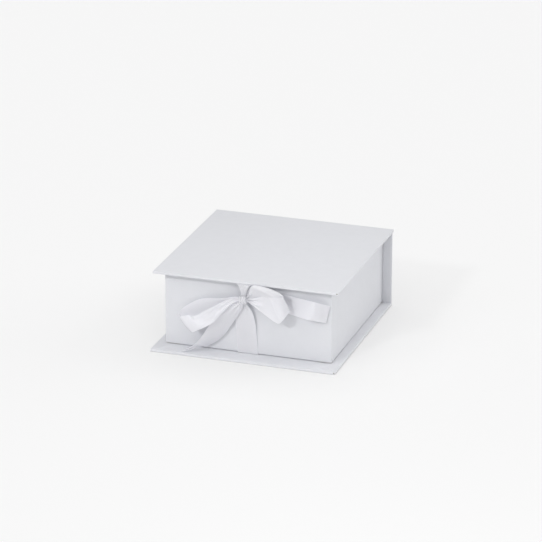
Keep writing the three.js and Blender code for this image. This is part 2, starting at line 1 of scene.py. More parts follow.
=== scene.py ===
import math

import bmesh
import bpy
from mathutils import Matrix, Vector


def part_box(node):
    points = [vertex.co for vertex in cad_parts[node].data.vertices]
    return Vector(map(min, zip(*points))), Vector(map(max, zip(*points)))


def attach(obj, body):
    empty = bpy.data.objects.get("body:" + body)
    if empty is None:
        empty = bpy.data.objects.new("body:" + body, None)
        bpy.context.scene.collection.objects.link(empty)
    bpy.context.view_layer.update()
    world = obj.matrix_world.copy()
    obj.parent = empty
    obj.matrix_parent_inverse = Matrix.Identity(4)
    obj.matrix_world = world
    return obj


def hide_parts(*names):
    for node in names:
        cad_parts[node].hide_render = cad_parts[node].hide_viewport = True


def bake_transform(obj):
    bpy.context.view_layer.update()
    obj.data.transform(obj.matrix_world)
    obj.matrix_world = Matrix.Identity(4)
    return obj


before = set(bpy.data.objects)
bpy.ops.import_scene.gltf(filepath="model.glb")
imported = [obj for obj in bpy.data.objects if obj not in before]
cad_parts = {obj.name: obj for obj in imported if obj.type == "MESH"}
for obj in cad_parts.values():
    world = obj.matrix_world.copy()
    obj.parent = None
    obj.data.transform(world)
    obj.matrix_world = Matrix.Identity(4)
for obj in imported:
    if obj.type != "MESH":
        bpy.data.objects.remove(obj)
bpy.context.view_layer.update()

# A white photo box of the book style, tied shut with a satin bow, dressed for its render.
#
# The case, the tray and their linings are paper over greyboard: each covering paper is made again
# here as a folded sheet with the soft edges, mitres and corner tucks that paper has. The bow is made
# of woven satin ribbon, gathered at the knot. Lengths are in millimetres until a mesh is made.

MM = 0.001

# Sizes of the real thing, in millimetres
PAPER = 0.2
EDGE_ROUND = 0.45  # paper pressed round a board's edge
TURN_IN = 22  # covering paper folded over the boards' edges
RIM_TURN_IN = 18  # tray paper folded over the rim and down inside
FOOT_TURN_IN = 15  # tray paper folded under the bottom
FOOT_ROUND = 1.1  # the tray's soft lower edge
BOARD_ROUND = 1.0  # the tray boards' edges, pressed round under the paper
TRAY_WALL = 2.7  # a tray wall with its papers
MITRE_WIDTH = 0.36
MITRE_DEPTH = 0.22
TUCK_WIDTH = 1.3  # the small pocket where paper is tucked in at a corner
TUCK_HEIGHT = 1.0
TUCK_DEPTH = 0.7
TUCK_SLOPE = 0.15  # how far a tuck's sides lean in
BASE_TUCK_IN = 0.95  # from the base's right-hand edge to its tuck
LID_TUCK_IN = 1.7
REAR_REACH = 0.04  # the lid's paper stands this far behind its board's rear edge
LINING_ROUND = 1.2  # the soft inner corners of the tray's lining
LINING_SLOPE = 3.2  # how far the lid's lining slopes down beside the ribbon's glued end
RIBBON_WIDTH = 20
RIBBON = 0.2
WOVEN_EDGE = 0.7  # the tighter edge of the ribbon
KNOT_RADIUS = 4.0
KNOT_HALF_WIDTH = 3.9
KNOT_GIRTH = 28  # the turn's length round the knot, on its map

BACKDROP_GLOW = 0.65  # share of the floor that shows its own white, so that its shadows stay faint
PAINTED_HALO_REACH = 110  # how far the painted shade on the floor's white reaches round the box
PAINTED_CONTACT_REACH = 1.2  # how far the painted dark line reaches where the box meets the floor
FLOOR_SIZE = 14  # metres

# The camera, fitted to the box's corners: degrees, millimetres of lens, and metres
CAMERA_AZIMUTH = 18.483
CAMERA_ELEVATION = 20.865
CAMERA_LENS = 208.01
CAMERA_PLACE = (0.89717, -2.69094, 1.14031)


# Selecting and modelling


def start_piece(name):
    """Names the primitive that was just added."""
    piece = bpy.context.object
    piece.name = name
    piece.data.name = name
    return piece


def clear_selection():
    bpy.ops.object.select_all(action="DESELECT")


def add_block(name, low, high):
    """A block between two corners, in millimetres."""
    clear_selection()
    size = [h - l for l, h in zip(low, high)]
    middle = [(l + h) / 2 * MM for l, h in zip(low, high)]
    bpy.ops.mesh.primitive_cube_add(size=1, location=middle, scale=[s * MM for s in size])
    bpy.ops.object.transform_apply(location=True, rotation=True, scale=True)
    return start_piece(name)


def pick(piece, kind, test):
    """In edit mode, selects the faces or edges that pass the test, and nothing else. The test gets
    each one's middle in millimetres and the element itself."""
    bpy.ops.mesh.select_mode(type="FACE" if kind == "faces" else "EDGE")
    bpy.ops.mesh.select_all(action="DESELECT")
    shape = bmesh.from_edit_mesh(piece.data)
    shape.normal_update()
    found = 0
    for element in getattr(shape, kind):
        corners = [v.co for v in element.verts]
        middle = sum(corners, Vector()) / len(corners) / MM
        if test(middle, element):
            element.select_set(True)
            found += 1
    shape.select_flush_mode()
    bmesh.update_edit_mesh(piece.data)
    return found


def apply_all(piece):
    clear_selection()
    piece.select_set(True)
    bpy.context.view_layer.objects.active = piece
    for modifier in list(piece.modifiers):
        bpy.ops.object.modifier_apply(modifier=modifier.name)


def thicken(piece, thickness=PAPER, offset=-1):
    """Gives a sheet its thickness."""
    wall = piece.modifiers.new("thickness", "SOLIDIFY")
    wall.thickness = thickness * MM
    wall.offset = offset
    wall.use_even_offset = True
    wall.use_quality_normals = True
    apply_all(piece)


def smooth(piece, angle=35):
    clear_selection()
    piece.select_set(True)
    bpy.context.view_layer.objects.active = piece
    bpy.ops.object.shade_smooth_by_angle(angle=math.radians(angle))


def dress(piece, material, body, slot, *nodes):
    """Gives a finished piece its finish and its place in the frame."""
    piece.data.materials.clear()
    piece.data.materials.append(material)
    if body:
        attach(piece, body)
    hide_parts(*nodes)


# Materials


def linear(hex_colour):
    """The linear colour of an sRGB hex value."""
    parts = [int(hex_colour[i:i + 2], 16) / 255 for i in (1, 3, 5)]
    return [p / 12.92 if p <= 0.04045 else ((p + 0.055) / 1.055) ** 2.4 for p in parts] + [1]


def scale_for(size):
    """The scale at which a pattern repeats about every so many millimetres."""
    return 1000 / size


def new_material(name):
    material = bpy.data.materials.new(name)
    material.use_nodes = True
    material.node_tree.nodes.clear()
    return material


def add_node(material, kind, inputs=(), **settings):
    """Adds a node, with its settings, and with its inputs as values or as links from other nodes."""
    node = material.node_tree.nodes.new("ShaderNode" + kind)
    for name, value in settings.items():
        setattr(node, name, value)
    for name, value in dict(inputs).items():
        if isinstance(value, bpy.types.NodeSocket):
            material.node_tree.links.new(value, node.inputs[name])
        else:
            node.inputs[name].default_value = value
    return node


def show(material, shader):
    add_node(material, "OutputMaterial", {"Surface": shader.outputs[0]})
    return material


def make_paper(name, light_hex, shade_hex, grain, bump, roughness):
    """Uncoated wood-free paper, made on a wire and calendered: matt and slightly cloudy, with a fine
    felt of fibres. The fibres are a tenth of a millimetre wide, drawn coarser so that they show."""
    paper = new_material(name)
    place = add_node(paper, "TexCoord").outputs["Object"]
    cloud = add_node(paper, "TexNoise", {"Vector": place, "Scale": scale_for(9), "Detail": 3})
    fibre = add_node(paper, "TexNoise", {"Vector": place, "Scale": scale_for(grain), "Detail": 5,
                                         "Roughness": 0.65})
    mixed = add_node(paper, "Math", {0: cloud.outputs["Fac"], 1: fibre.outputs["Fac"]},
                     operation="MULTIPLY")
    tint = add_node(paper, "ValToRGB", {"Fac": mixed.outputs[0]})
    tint.color_ramp.elements[0].position = 0.15
    tint.color_ramp.elements[0].color = linear(shade_hex)
    tint.color_ramp.elements[1].position = 0.4
    tint.color_ramp.elements[1].color = linear(light_hex)
    felt = add_node(paper, "Bump", {"Height": fibre.outputs["Fac"], "Strength": bump,
                                    "Distance": 0.08 * MM})
    shader = add_node(paper, "BsdfPrincipled", {
        "Base Color": tint.outputs["Color"], "Roughness": roughness, "Specular IOR Level": 0.3,
        "Normal": felt.outputs["Normal"]})
    return show(paper, shader)


def make_greyboard():
    """Greyboard, couched from recycled paper: warm grey with dark and light flecks."""
    board = new_material("greyboard")
    place = add_node(board, "TexCoord").outputs["Object"]
    pulp = add_node(board, "TexNoise", {"Vector": place, "Scale": scale_for(1.2), "Detail": 6})
    flecks = add_node(board, "TexVoronoi", {"Vector": place, "Scale": scale_for(2.5)})
    mixed = add_node(board, "Math", {0: pulp.outputs["Fac"], 1: flecks.outputs["Distance"]},
                     operation="MULTIPLY")
    tint = add_node(board, "ValToRGB", {"Fac": mixed.outputs[0]})
    tint.color_ramp.elements[0].color = linear("#6f6a62")
    tint.color_ramp.elements[1].position = 0.45
    tint.color_ramp.elements[1].color = linear("#a39e94")
    rough = add_node(board, "Bump", {"Height": pulp.outputs["Fac"], "Strength": 0.5,
                                     "Distance": 0.1 * MM})
    shader = add_node(board, "BsdfPrincipled", {
        "Base Color": tint.outputs["Color"], "Roughness": 0.95, "Specular IOR Level": 0.2,
        "Normal": rough.outputs["Normal"]})
    return show(board, shader)


def make_satin():
    """Polyester satin ribbon, woven with long floats on its face: white with a soft gloss along the
    floats, thin enough to let some light through, and tighter and duller at its woven edges. The
    threads are 0.1 mm apart, drawn coarser so that they show. The piece's map is in metres, with the
    ribbon's width across and its length along."""
    satin = new_material("polyester_satin")
    lay = add_node(satin, "UVMap", uv_map="ribbon")
    across = add_node(satin, "SeparateXYZ", {"Vector": lay.outputs["UV"]})
    stretched = add_node(satin, "Mapping", {"Vector": lay.outputs["UV"], "Scale": (1, 0.3, 1)})
    floats = add_node(satin, "TexNoise", {"Vector": stretched.outputs[0], "Scale": scale_for(0.4),
                                          "Detail": 4, "Roughness": 0.6})
    slubs = add_node(satin, "TexNoise", {
        "Vector": lay.outputs["UV"], "Scale": scale_for(1.1), "Detail": 2})
    from_middle = add_node(satin, "Math", {0: across.outputs["X"], 1: RIBBON_WIDTH / 2 * MM},
                           operation="SUBTRACT")
    distance = add_node(satin, "Math", {0: from_middle.outputs[0]}, operation="ABSOLUTE")
    woven_edge = add_node(satin, "MapRange", {
        "Value": distance.outputs[0], "From Min": (RIBBON_WIDTH / 2 - WOVEN_EDGE) * MM,
        "From Max": (RIBBON_WIDTH / 2 - 0.6 * WOVEN_EDGE) * MM})
    tint = add_node(satin, "ValToRGB", {"Fac": floats.outputs["Fac"]})
    tint.color_ramp.elements[0].position = 0.3
    tint.color_ramp.elements[0].color = linear("#fafafe")
    tint.color_ramp.elements[1].position = 0.7
    tint.color_ramp.elements[1].color = linear("#fdfdff")
    gloss = add_node(satin, "MapRange", {
        "Value": woven_edge.outputs[0], "To Min": 0.5, "To Max": 0.62})
    weave = add_node(satin, "Bump", {"Height": floats.outputs["Fac"], "Strength": 0.25,
                                     "Distance": 0.05 * MM})
    uneven = add_node(satin, "Bump", {"Height": slubs.outputs["Fac"], "Strength": 0.7,
                                      "Distance": 0.15 * MM, "Normal": weave.outputs["Normal"]})
    cord = add_node(satin, "Bump", {"Height": woven_edge.outputs[0], "Strength": 0.5,
                                    "Distance": 0.08 * MM, "Normal": uneven.outputs["Normal"]})
    along = add_node(satin, "Tangent", direction_type="UV_MAP", uv_map="ribbon")
    face = add_node(satin, "BsdfPrincipled", {
        "Base Color": tint.outputs["Color"], "Roughness": gloss.outputs[0], "Specular IOR Level": 1.0,
        "IOR": 1.8, "Anisotropic": 0.4, "Normal": cord.outputs["Normal"],
        "Tangent": along.outputs["Tangent"]})
    through = add_node(satin, "BsdfTranslucent", {"Color": tint.outputs["Color"],
                                                  "Normal": cord.outputs["Normal"]})
    mixed = add_node(satin, "MixShader", {"Fac": 0.38, 1: face.outputs[0], 2: through.outputs[0]})
    return show(satin, mixed)


cover_paper = make_paper("wood_free_cover_paper", "#e1e2e6", "#dfe0e4", 0.7, 0.4, 0.75)
lining_paper = make_paper("wood_free_lining_paper", "#e2e3e7", "#dfe0e4", 0.5, 0.35, 0.85)
stay_tape = make_paper("gummed_kraft_tape", "#d8d4c8", "#c9c4b6", 0.9, 0.6, 0.85)
greyboard = make_greyboard()
satin = make_satin()


# Covering papers of the case


def wrap_board(name, width, length, thickness, front_fold, back_fold, tuck_x=0):
    """A covering paper as it wraps one board, lying on its outer face at z = 0 and running from y = 0,
    with its turn-ins on top. Ends that aren't folded stay open, where the paper goes on."""
    half = width / 2
    wrap = add_block(name, (-half, 0, 0), (half, length, thickness))
    bpy.ops.object.mode_set(mode="EDIT")

    def open_end(middle, face):
        return (face.normal.y < -0.9 and not front_fold) or (face.normal.y > 0.9 and not back_fold)

    if pick(wrap, "faces", open_end):
        bpy.ops.mesh.delete(type="FACE")
    pick(wrap, "faces", lambda middle, face: face.normal.z > 0.9)
    bpy.ops.mesh.inset(thickness=TURN_IN * MM, use_boundary=False)
    bpy.ops.mesh.delete(type="FACE")

    def board_edge(middle, edge):
        return len(edge.link_faces) == 2 and edge.calc_face_angle() > 1

    pick(wrap, "edges", board_edge)
    bpy.ops.mesh.bevel(offset=EDGE_ROUND * MM, segments=3, affect="EDGES")
    if front_fold:
        press_mitres(wrap, half, thickness)
        tuck_corner(wrap, tuck_x, thickness)
    bpy.ops.object.mode_set(mode="OBJECT")
    thicken(wrap)
    return wrap


def press_mitres(wrap, half, thickness):
    """The shallow line where two turn-ins meet, from each front corner inwards."""
    def mitre(middle, edge):
        run = edge.verts[0].co - edge.verts[1].co
        diagonal = abs(abs(run.x) - abs(run.y)) < 0.3 * max(abs(run.x), abs(run.y), 1e-9)
        return diagonal and middle.z > thickness - 0.01 and middle.y < TURN_IN and run.length > 5 * MM

    pick(wrap, "edges", mitre)
    bpy.ops.mesh.bevel(offset=MITRE_WIDTH / 2 * MM, segments=2, affect="EDGES")

    def pressed(middle, edge):
        long_run = (edge.verts[0].co - edge.verts[1].co).length > 5 * MM
        on_diagonal = abs(half - abs(middle.x) - middle.y) < 0.05
        return long_run and on_diagonal and thickness - 0.01 < middle.z and middle.y < TURN_IN

    pick(wrap, "edges", pressed)
    bpy.ops.transform.translate(value=(0, 0, -MITRE_DEPTH * MM))


def tuck_corner(wrap, x, thickness):
    """The small pocket in the front edge, near the right-hand corner, where the paper is tucked in."""
    middle_z = thickness / 2
    for cut_x in (x - TUCK_WIDTH / 2, x + TUCK_WIDTH / 2):
        pick(wrap, "faces", lambda middle, face: face.normal.y < -0.9)
        bpy.ops.mesh.bisect(plane_co=(cut_x * MM, 0, 0), plane_no=(1, 0, 0))
    for cut_z in (middle_z - TUCK_HEIGHT / 2, middle_z + TUCK_HEIGHT / 2):
        pick(wrap, "faces", lambda middle, face: face.normal.y < -0.9)
        bpy.ops.mesh.bisect(plane_co=(0, 0, cut_z * MM), plane_no=(0, 0, 1))

    def pocket(middle, face):
        beside = abs(middle.x - x) < TUCK_WIDTH / 4
        return face.normal.y < -0.9 and beside and abs(middle.z - middle_z) < TUCK_HEIGHT / 4

    pick(wrap, "faces", pocket)
    bpy.ops.mesh.inset(thickness=TUCK_SLOPE * MM)
    bpy.ops.transform.translate(value=(0, TUCK_DEPTH * MM, 0))


def move_mesh(piece, matrix):
    """Puts a piece that lies in its own place where it belongs, with its object at the origin."""
    piece.data.transform(matrix)
    piece.data.update()


def node_size(node):
    low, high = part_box(node)
    return low / MM, high / MM


def make_base_wrap():
    low, high = node_size("base_cover_paper")
    size = high - low
    tuck_x = size.x / 2 - BASE_TUCK_IN
    wrap = wrap_board("base_wrap", size.x, size.y, size.z, True, True, tuck_x)
    move_mesh(wrap, Matrix.Translation(Vector((0, low.y, low.z)) * MM))
    smooth(wrap)
    dress(wrap, cover_paper, "root", "cover_paper", "base_cover_paper")


def make_spine_wrap():
    low, high = node_size("spine_cover_paper")
    size = high - low
    wrap = wrap_board("spine_wrap", size.x, size.z, size.y, False, True)
    upright = Matrix.Rotation(math.pi / 2, 4, "X")
    move_mesh(wrap, Matrix.Translation(Vector((0, high.y, low.z)) * MM) @ upright)
    smooth(wrap)
    dress(wrap, cover_paper, "root", "cover_paper", "spine_cover_paper")


def make_lid_wrap():
    """The lid's covering paper, folded upside down like the base's and then turned over."""
    low, high = node_size("lid_cover_paper")
    size = high - low
    tuck_x = LID_TUCK_IN - size.x / 2
    wrap = wrap_board("lid_wrap", size.x, size.y + REAR_REACH, size.z, True, True, tuck_x)
    middle = (low.x + high.x) / 2
    turned_over = Matrix.Rotation(math.pi, 4, "Y")
    move_mesh(wrap, Matrix.Translation(Vector((middle, low.y, high.z)) * MM) @ turned_over)
    smooth(wrap)
    dress(wrap, cover_paper, "lid", "cover_paper", "lid_cover_paper")


def make_hinge_paper():
    """The covering paper between the spine and the lid, pressed in along the joint."""
    spine_low, spine_high = node_size("spine_cover_paper")
    lid_low, lid_high = node_size("lid_cover_paper")
    drift = (lid_low.x + lid_high.x) / 2
    start = Vector((0, spine_high.y, spine_high.z))
    end = Vector((0, lid_high.y, lid_high.z))
    steps_along, steps_across = 16, 40
    clear_selection()
    bpy.ops.mesh.primitive_grid_add(x_subdivisions=steps_across, y_subdivisions=steps_along, size=1)
    strip = start_piece("hinge_paper")
    half = (spine_high.x - spine_low.x) / 2
    above = Vector((0, spine_high.y, (start.z * 0.72 + end.z * 0.28)))
    inside = Vector((0, start.y * 0.35 + end.y * 0.65, end.z - 0.75))
    for vertex in strip.data.vertices:
        t = vertex.co.y + 0.5
        section = (start * (1 - t) ** 3 + above * 3 * t * (1 - t) ** 2
                   + inside * 3 * t * t * (1 - t) + end * t ** 3)
        x = vertex.co.x * 2 * half + drift * t
        vertex.co = Vector((x, section.y, section.z)) * MM
    strip.data.update()
    if strip.data.polygons[0].normal.y < 0:
        strip.data.flip_normals()
    thicken(strip)
    smooth(strip, 60)
    dress(strip, cover_paper, None, "cover_paper", "lid_crease")
    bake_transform(strip)


# The tray


def make_tray_wrap():
    """The tray's covering paper: up the walls, over the rim and down inside, and under the bottom."""
    low, high = node_size("tray_cover_paper")
    wrap = add_block("tray_wrap", low, high)
    bpy.ops.object.mode_set(mode="EDIT")
    pick(wrap, "faces", lambda middle, face: face.normal.z < -0.9)
    bpy.ops.mesh.inset(thickness=FOOT_TURN_IN * MM)
    bpy.ops.mesh.delete(type="FACE")
    pick(wrap, "faces", lambda middle, face: face.normal.z > 0.9)
    bpy.ops.mesh.inset(thickness=TRAY_WALL * MM)
    bpy.ops.mesh.extrude_region_move(TRANSFORM_OT_translate={"value": (0, 0, -RIM_TURN_IN * MM)})
    bpy.ops.mesh.delete(type="FACE")
    pick(wrap, "edges", lambda middle, edge: middle.z < low.z + 0.01 and edge.calc_face_angle(0) > 1)
    bpy.ops.mesh.bevel(offset=FOOT_ROUND * MM, segments=4, affect="EDGES")
    pick(wrap, "edges", lambda middle, edge: len(edge.link_faces) == 2 and edge.calc_face_angle() > 1)
    bpy.ops.mesh.bevel(offset=EDGE_ROUND * MM, segments=3, affect="EDGES")
    bpy.ops.object.mode_set(mode="OBJECT")
    thicken(wrap)
    smooth(wrap)
    dress(wrap, cover_paper, "root", "cover_paper", "tray_cover_paper")


def make_tray_lining():
    """The lining inside the tray: one open box of paper, with the soft inner corners that paper keeps."""
    low, high = node_size("tray_lining")
    lining = add_block("tray_inside_paper", low, high)
    bpy.ops.object.mode_set(mode="EDIT")
    pick(lining, "faces", lambda middle, face: face.normal.z > 0.9)
    bpy.ops.mesh.delete(type="FACE")
    pick(lining, "edges", lambda middle, edge: len(edge.link_faces) == 2)
    bpy.ops.mesh.bevel(offset=LINING_ROUND * MM, segments=4, affect="EDGES")
    bpy.ops.object.mode_set(mode="OBJECT")
    thicken(lining)
    smooth(lining)
    dress(lining, lining_paper, "root", "lining_paper", "tray_lining")


def make_lid_lining():
    """The lid's lining, which rises softly over the glued end of the ribbon."""
    low, high = node_size("lid_lining")
    ribbon_low, ribbon_high = node_size("upper_ribbon")
    pocket_middle = (ribbon_low.x + ribbon_high.x) / 2
    clear_selection()
    bpy.ops.mesh.primitive_grid_add(x_subdivisions=120, y_subdivisions=120, size=1)
    lining = start_piece("lid_inside_paper")
    flat = high.z - PAPER
    for vertex in lining.data.vertices:
        x = (low.x + high.x) / 2 + vertex.co.x * (high.x - low.x)
        y = (low.y + high.y) / 2 + vertex.co.y * (high.y - low.y)
        beside = max(0, abs(x - pocket_middle) - RIBBON_WIDTH / 2)
        beyond = max(0, y - ribbon_high.y)
        away = min(1, math.hypot(beside, beyond) / LINING_SLOPE)
        rise = (high.z - PAPER - low.z) * (1 - away * away * (3 - 2 * away))
        vertex.co = Vector((x, y, flat - rise)) * MM
    lining.data.update()
    if lining.data.polygons[0].normal.z > 0:
        lining.data.flip_normals()
    thicken(lining)
    smooth(lining)
    dress(lining, lining_paper, "lid", "lining_paper", "lid_lining")


# The ribbons


def smooth_line(points):
    """A function of the share of the way along a centripetal curve through the points."""
    knots = [Vector(p) for p in points]
    first = knots[0] * 2 - knots[1]
    last = knots[-1] * 2 - knots[-2]
    run = [first, *knots, last]

    def at(share):
        place = min(max(share, 0), 1) * (len(knots) - 1)
        i = min(int(place), len(knots) - 2)
        w = place - i
        p0, p1, p2, p3 = run[i:i + 4]
        d0 = max((p1 - p0).length ** 0.5, 1e-4)
        d1 = max((p2 - p1).length ** 0.5, 1e-4)
        d2 = max((p3 - p2).length ** 0.5, 1e-4)
        m1 = ((p1 - p0) / d0 - (p2 - p0) / (d0 + d1) + (p2 - p1) / d1) * d1
        m2 = ((p2 - p1) / d1 - (p3 - p1) / (d1 + d2) + (p3 - p2) / d2) * d1
        return (p1 * (2 * w ** 3 - 3 * w * w + 1) + m1 * (w ** 3 - 2 * w * w + w)
                + p2 * (3 * w * w - 2 * w ** 3) + m2 * (w ** 3 - w * w))

    return at


def make_ribbon(name, edge_a, edge_b, cup=0.0, pleats=3, phase=0.0, gather=0.6,
                loose_end=False, creases=()):
    """A length of ribbon between two edges. Where they come together the ribbon is gathered into
    pleats that take up its width, and the pleats run out before a loose end. It bows by its cup
    between its edges, and its creases are (from share, place across, to share, place across, depth):
    a line on which it stands out like a roof, along which it would be folded."""
    line_a, line_b = smooth_line(edge_a), smooth_line(edge_b)
    along, across = 180, 32
    clear_selection()
    bpy.ops.mesh.primitive_grid_add(x_subdivisions=across, y_subdivisions=along, size=1)
    ribbon = start_piece(name)
    rows = []
    length = 0.0
    lengths = []
    for i in range(along + 1):
        t = i / along
        a, b = line_a(t), line_b(t)
        ahead, behind = min(t + 0.004, 1), max(t - 0.004, 0)
        forward = line_a(ahead) - line_a(behind) + line_b(ahead) - line_b(behind)
        chord = a - b
        face = forward.cross(chord).normalized()
        if rows:
            length += ((a + b) / 2 - middle).length
        middle = (a + b) / 2
        lengths.append(length)
        slack = max(0, RIBBON_WIDTH ** 2 - chord.length ** 2) ** 0.5
        pleat = gather * slack / (4 * pleats) * min(1, slack / RIBBON_WIDTH) ** 2
        if loose_end:
            pleat *= (1 - t) ** 3
        bow = cup * math.sin(math.pi * t)
        row = []
        for j in range(across + 1):
            v = j / across
            lift = bow * 4 * v * (1 - v) + pleat * math.sin(2 * math.pi * (pleats * v + phase))
            for start, place_a, end, place_b, depth in creases:
                if start < t < end:
                    share = (t - start) / (end - start)
                    place = place_a + (place_b - place_a) * share
                    side = v / max(place, 0.05) if v < place else (1 - v) / max(1 - place, 0.05)
                    lift += depth * math.sin(math.pi * share) * min(1, side)
            row.append(b + chord * v + face * lift)
        rows.append(row)
    for vertex in ribbon.data.vertices:
        j = round((vertex.co.x + 0.5) * across)
        i = round((vertex.co.y + 0.5) * along)
        vertex.co = rows[i][j] * MM
    layer = ribbon.data.uv_layers[0]
    layer.name = "ribbon"
    for corner in layer.data:
        i = round(corner.uv.y * along)
        corner.uv = (corner.uv.x * RIBBON_WIDTH * MM, lengths[i] * MM)
    ribbon.data.update()
    thicken(ribbon, RIBBON, 0)
    smooth(ribbon, 80)
    return ribbon


LEFT, RIGHT = -RIBBON_WIDTH / 2, RIBBON_WIDTH / 2
KNOT = Vector((-1.5, -84.5, 60.6))

lower_left_edge = [
    (LEFT, -46, 2.75), (LEFT, -70, 2.75), (LEFT, -75.4, 2.75), (LEFT, -76.3, 2.87),
    (LEFT, -76.4, 3.95), (-10.8, -76.4, 9), (-11.4, -76.8, 21), (-11.5, -78.5, 36),
    (-10.5, -80, 46), (-5.5, -82.5, 54.5), (-2.5, -84, 60),
]
lower_right_edge = [
    (RIGHT, -46, 2.75), (RIGHT, -70, 2.75), (RIGHT, -75.4, 2.75), (RIGHT, -76.3, 2.87),
    (RIGHT, -76.4, 3.95), (9.8, -76.4, 9), (9, -76.8, 22), (8, -78.8, 37), (5.5, -80.5, 48),
    (1.5, -82.5, 55.5), (-0.5, -84, 60),
]
upper_left_edge = [
    (LEFT, -56, 77.75), (LEFT, -85.3, 77.75), (-9.4, -86.5, 77.75), (-6.4, -88.3, 76.95),
    (-4.6, -88.5, 74.45), (-3.6, -87.2, 69.5), (-3.2, -85.6, 65), (-2.5, -84.5, 61),
]
upper_right_edge = [
    (RIGHT, -56, 77.75), (RIGHT, -85.3, 77.75), (RIGHT, -86.5, 77.75), (6.6, -88.4, 76.95),
    (4.9, -89, 74.5), (2.6, -88.3, 69.8), (0.8, -86.6, 65), (-0.5, -84.5, 61),
]
left_loop_top = [
    (-1, -83.2, 61.5), (-12, -82.2, 61.2), (-22.1, -81.2, 58.4), (-30.9, -80.6, 56.8),
    (-39.5, -80.5, 56), (-49.6, -80.5, 52.8), (-57.4, -80.5, 48), (-62.6, -81, 44.1),
    (-65.6, -82.5, 41), (-66.5, -84.8, 38.3), (-64.8, -87, 36.6), (-59.8, -88.4, 38.5),
    (-54.7, -88.8, 39.7), (-52.2, -88.8, 38.8), (-46.9, -88.5, 40.6), (-39.4, -88, 45.8),
    (-31.9, -87.8, 50.5), (-24.4, -87.6, 55.2), (-17, -87.2, 60), (-10.3, -86.4, 63),
    (-1.4, -85.5, 62.5),
]
left_loop_foot = [
    (-1.4, -83.2, 59.8), (-9.9, -82.2, 55.8), (-18.5, -81.2, 47.1), (-26.1, -80.6, 39.7),
    (-32.9, -80.5, 36.7), (-41.5, -80.5, 33.1), (-47.5, -81, 29.3), (-50.5, -83, 26.3),
    (-52.2, -86, 24.2), (-51.9, -90, 23.6), (-49.8, -93, 24.4), (-45.7, -94.6, 27),
    (-41.7, -94.8, 29.2), (-38.3, -94.6, 31), (-34.5, -94.3, 33.2), (-29.5, -93.6, 36.8),
    (-24.5, -92.6, 42.3), (-19.6, -91.2, 48.3), (-13.1, -89.8, 55.1), (-7.8, -88.2, 58.8),
    (-1, -86, 60.8),
]
right_loop_top = [
    (0.6, -84.4, 62.4), (4.1, -88.5, 68), (6.6, -90.6, 74.2), (9.9, -91, 78.5), (18.8, -91, 78.7),
    (27.2, -91, 77.3), (34.5, -90.6, 74.9), (38.5, -90.2, 72.6), (39.4, -90.4, 71.2),
    (38.3, -91, 69.9), (35.6, -91.8, 69.2), (33.7, -91.8, 69.3), (30.8, -90.8, 69.3),
    (27.5, -90, 69.5), (21.9, -89.4, 69.3), (15.6, -88.6, 66.8), (7.9, -87.4, 63.8),
    (1.8, -86, 61.9),
]
right_loop_foot = [
    (-0.5, -84, 60.6), (3.3, -84.9, 60.8), (7.5, -85, 61.2), (13.2, -84.5, 60), (20.7, -84, 58.2),
    (28.9, -83.3, 55.9), (37.3, -83.2, 54.2), (43.7, -84.2, 55.6), (45.5, -86, 55.6),
    (44, -88.8, 53.2), (41.8, -91.6, 49.6), (39.9, -92.3, 47.2), (36, -91.4, 43.4),
    (29.9, -91.2, 45.5), (22.6, -90.8, 49.9), (15.3, -89.6, 53.9), (8, -88.2, 57.7),
    (2.2, -86.3, 60.5),
]
left_tail_top = [
    (-3.1, -85.6, 59.4), (-9.8, -86.2, 57.3), (-16.5, -86.9, 52.6), (-22.9, -87.9, 46.2),
    (-29, -88.9, 38.6), (-34.9, -89.6, 31), (-40.4, -90.4, 22.1), (-47, -91.2, 13.1),
    (-54.5, -92.6, 7.2), (-62.6, -94.2, 3),
]
left_tail_foot = [
    (-1.2, -85.6, 58.2), (-2.5, -85, 52.9), (-7.3, -82, 44.5), (-11.8, -80.6, 36.8),
    (-16.5, -79.5, 29.5), (-22.9, -79, 20), (-30.4, -79.2, 12.5), (-38.6, -80.4, 7.8),
    (-44.7, -82.4, 6.3), (-52.1, -84.8, 4.5),
]
right_tail_top = [
    (-0.2, -83, 60.3), (12.9, -80.6, 67.2), (26.8, -79, 68.5), (40.1, -78, 67.6), (50, -78.4, 66.4),
    (57.9, -80.2, 66.1), (64.7, -82.8, 66.4), (68.8, -84.2, 66.5), (73.3, -82.4, 65),
    (77.9, -79.6, 63.2), (82, -77.4, 61.6),
]
right_tail_foot = [
    (-0.2, -83, 59.3), (12.3, -80.6, 56.3), (27.4, -79, 51.4), (39.3, -78.4, 49.6),
    (49.1, -79.6, 48.6), (57.5, -82.6, 48.3), (63.8, -84.8, 48.2), (67.3, -85, 47.9),
    (71.6, -82.8, 46.6), (75.1, -80.3, 45.4), (78.4, -77.8, 44.2),
]


def tie_ribbon(name, body, node, edges, length, held, rests_on, cut=1, **form):
    """Makes one length of the bow's ribbon. Its length along the longer edge, and the share of its
    area that a slanted end leaves, are not used."""
    ribbon = make_ribbon(name, *edges, **form)
    dress(ribbon, satin, body, "satin_ribbon", node)


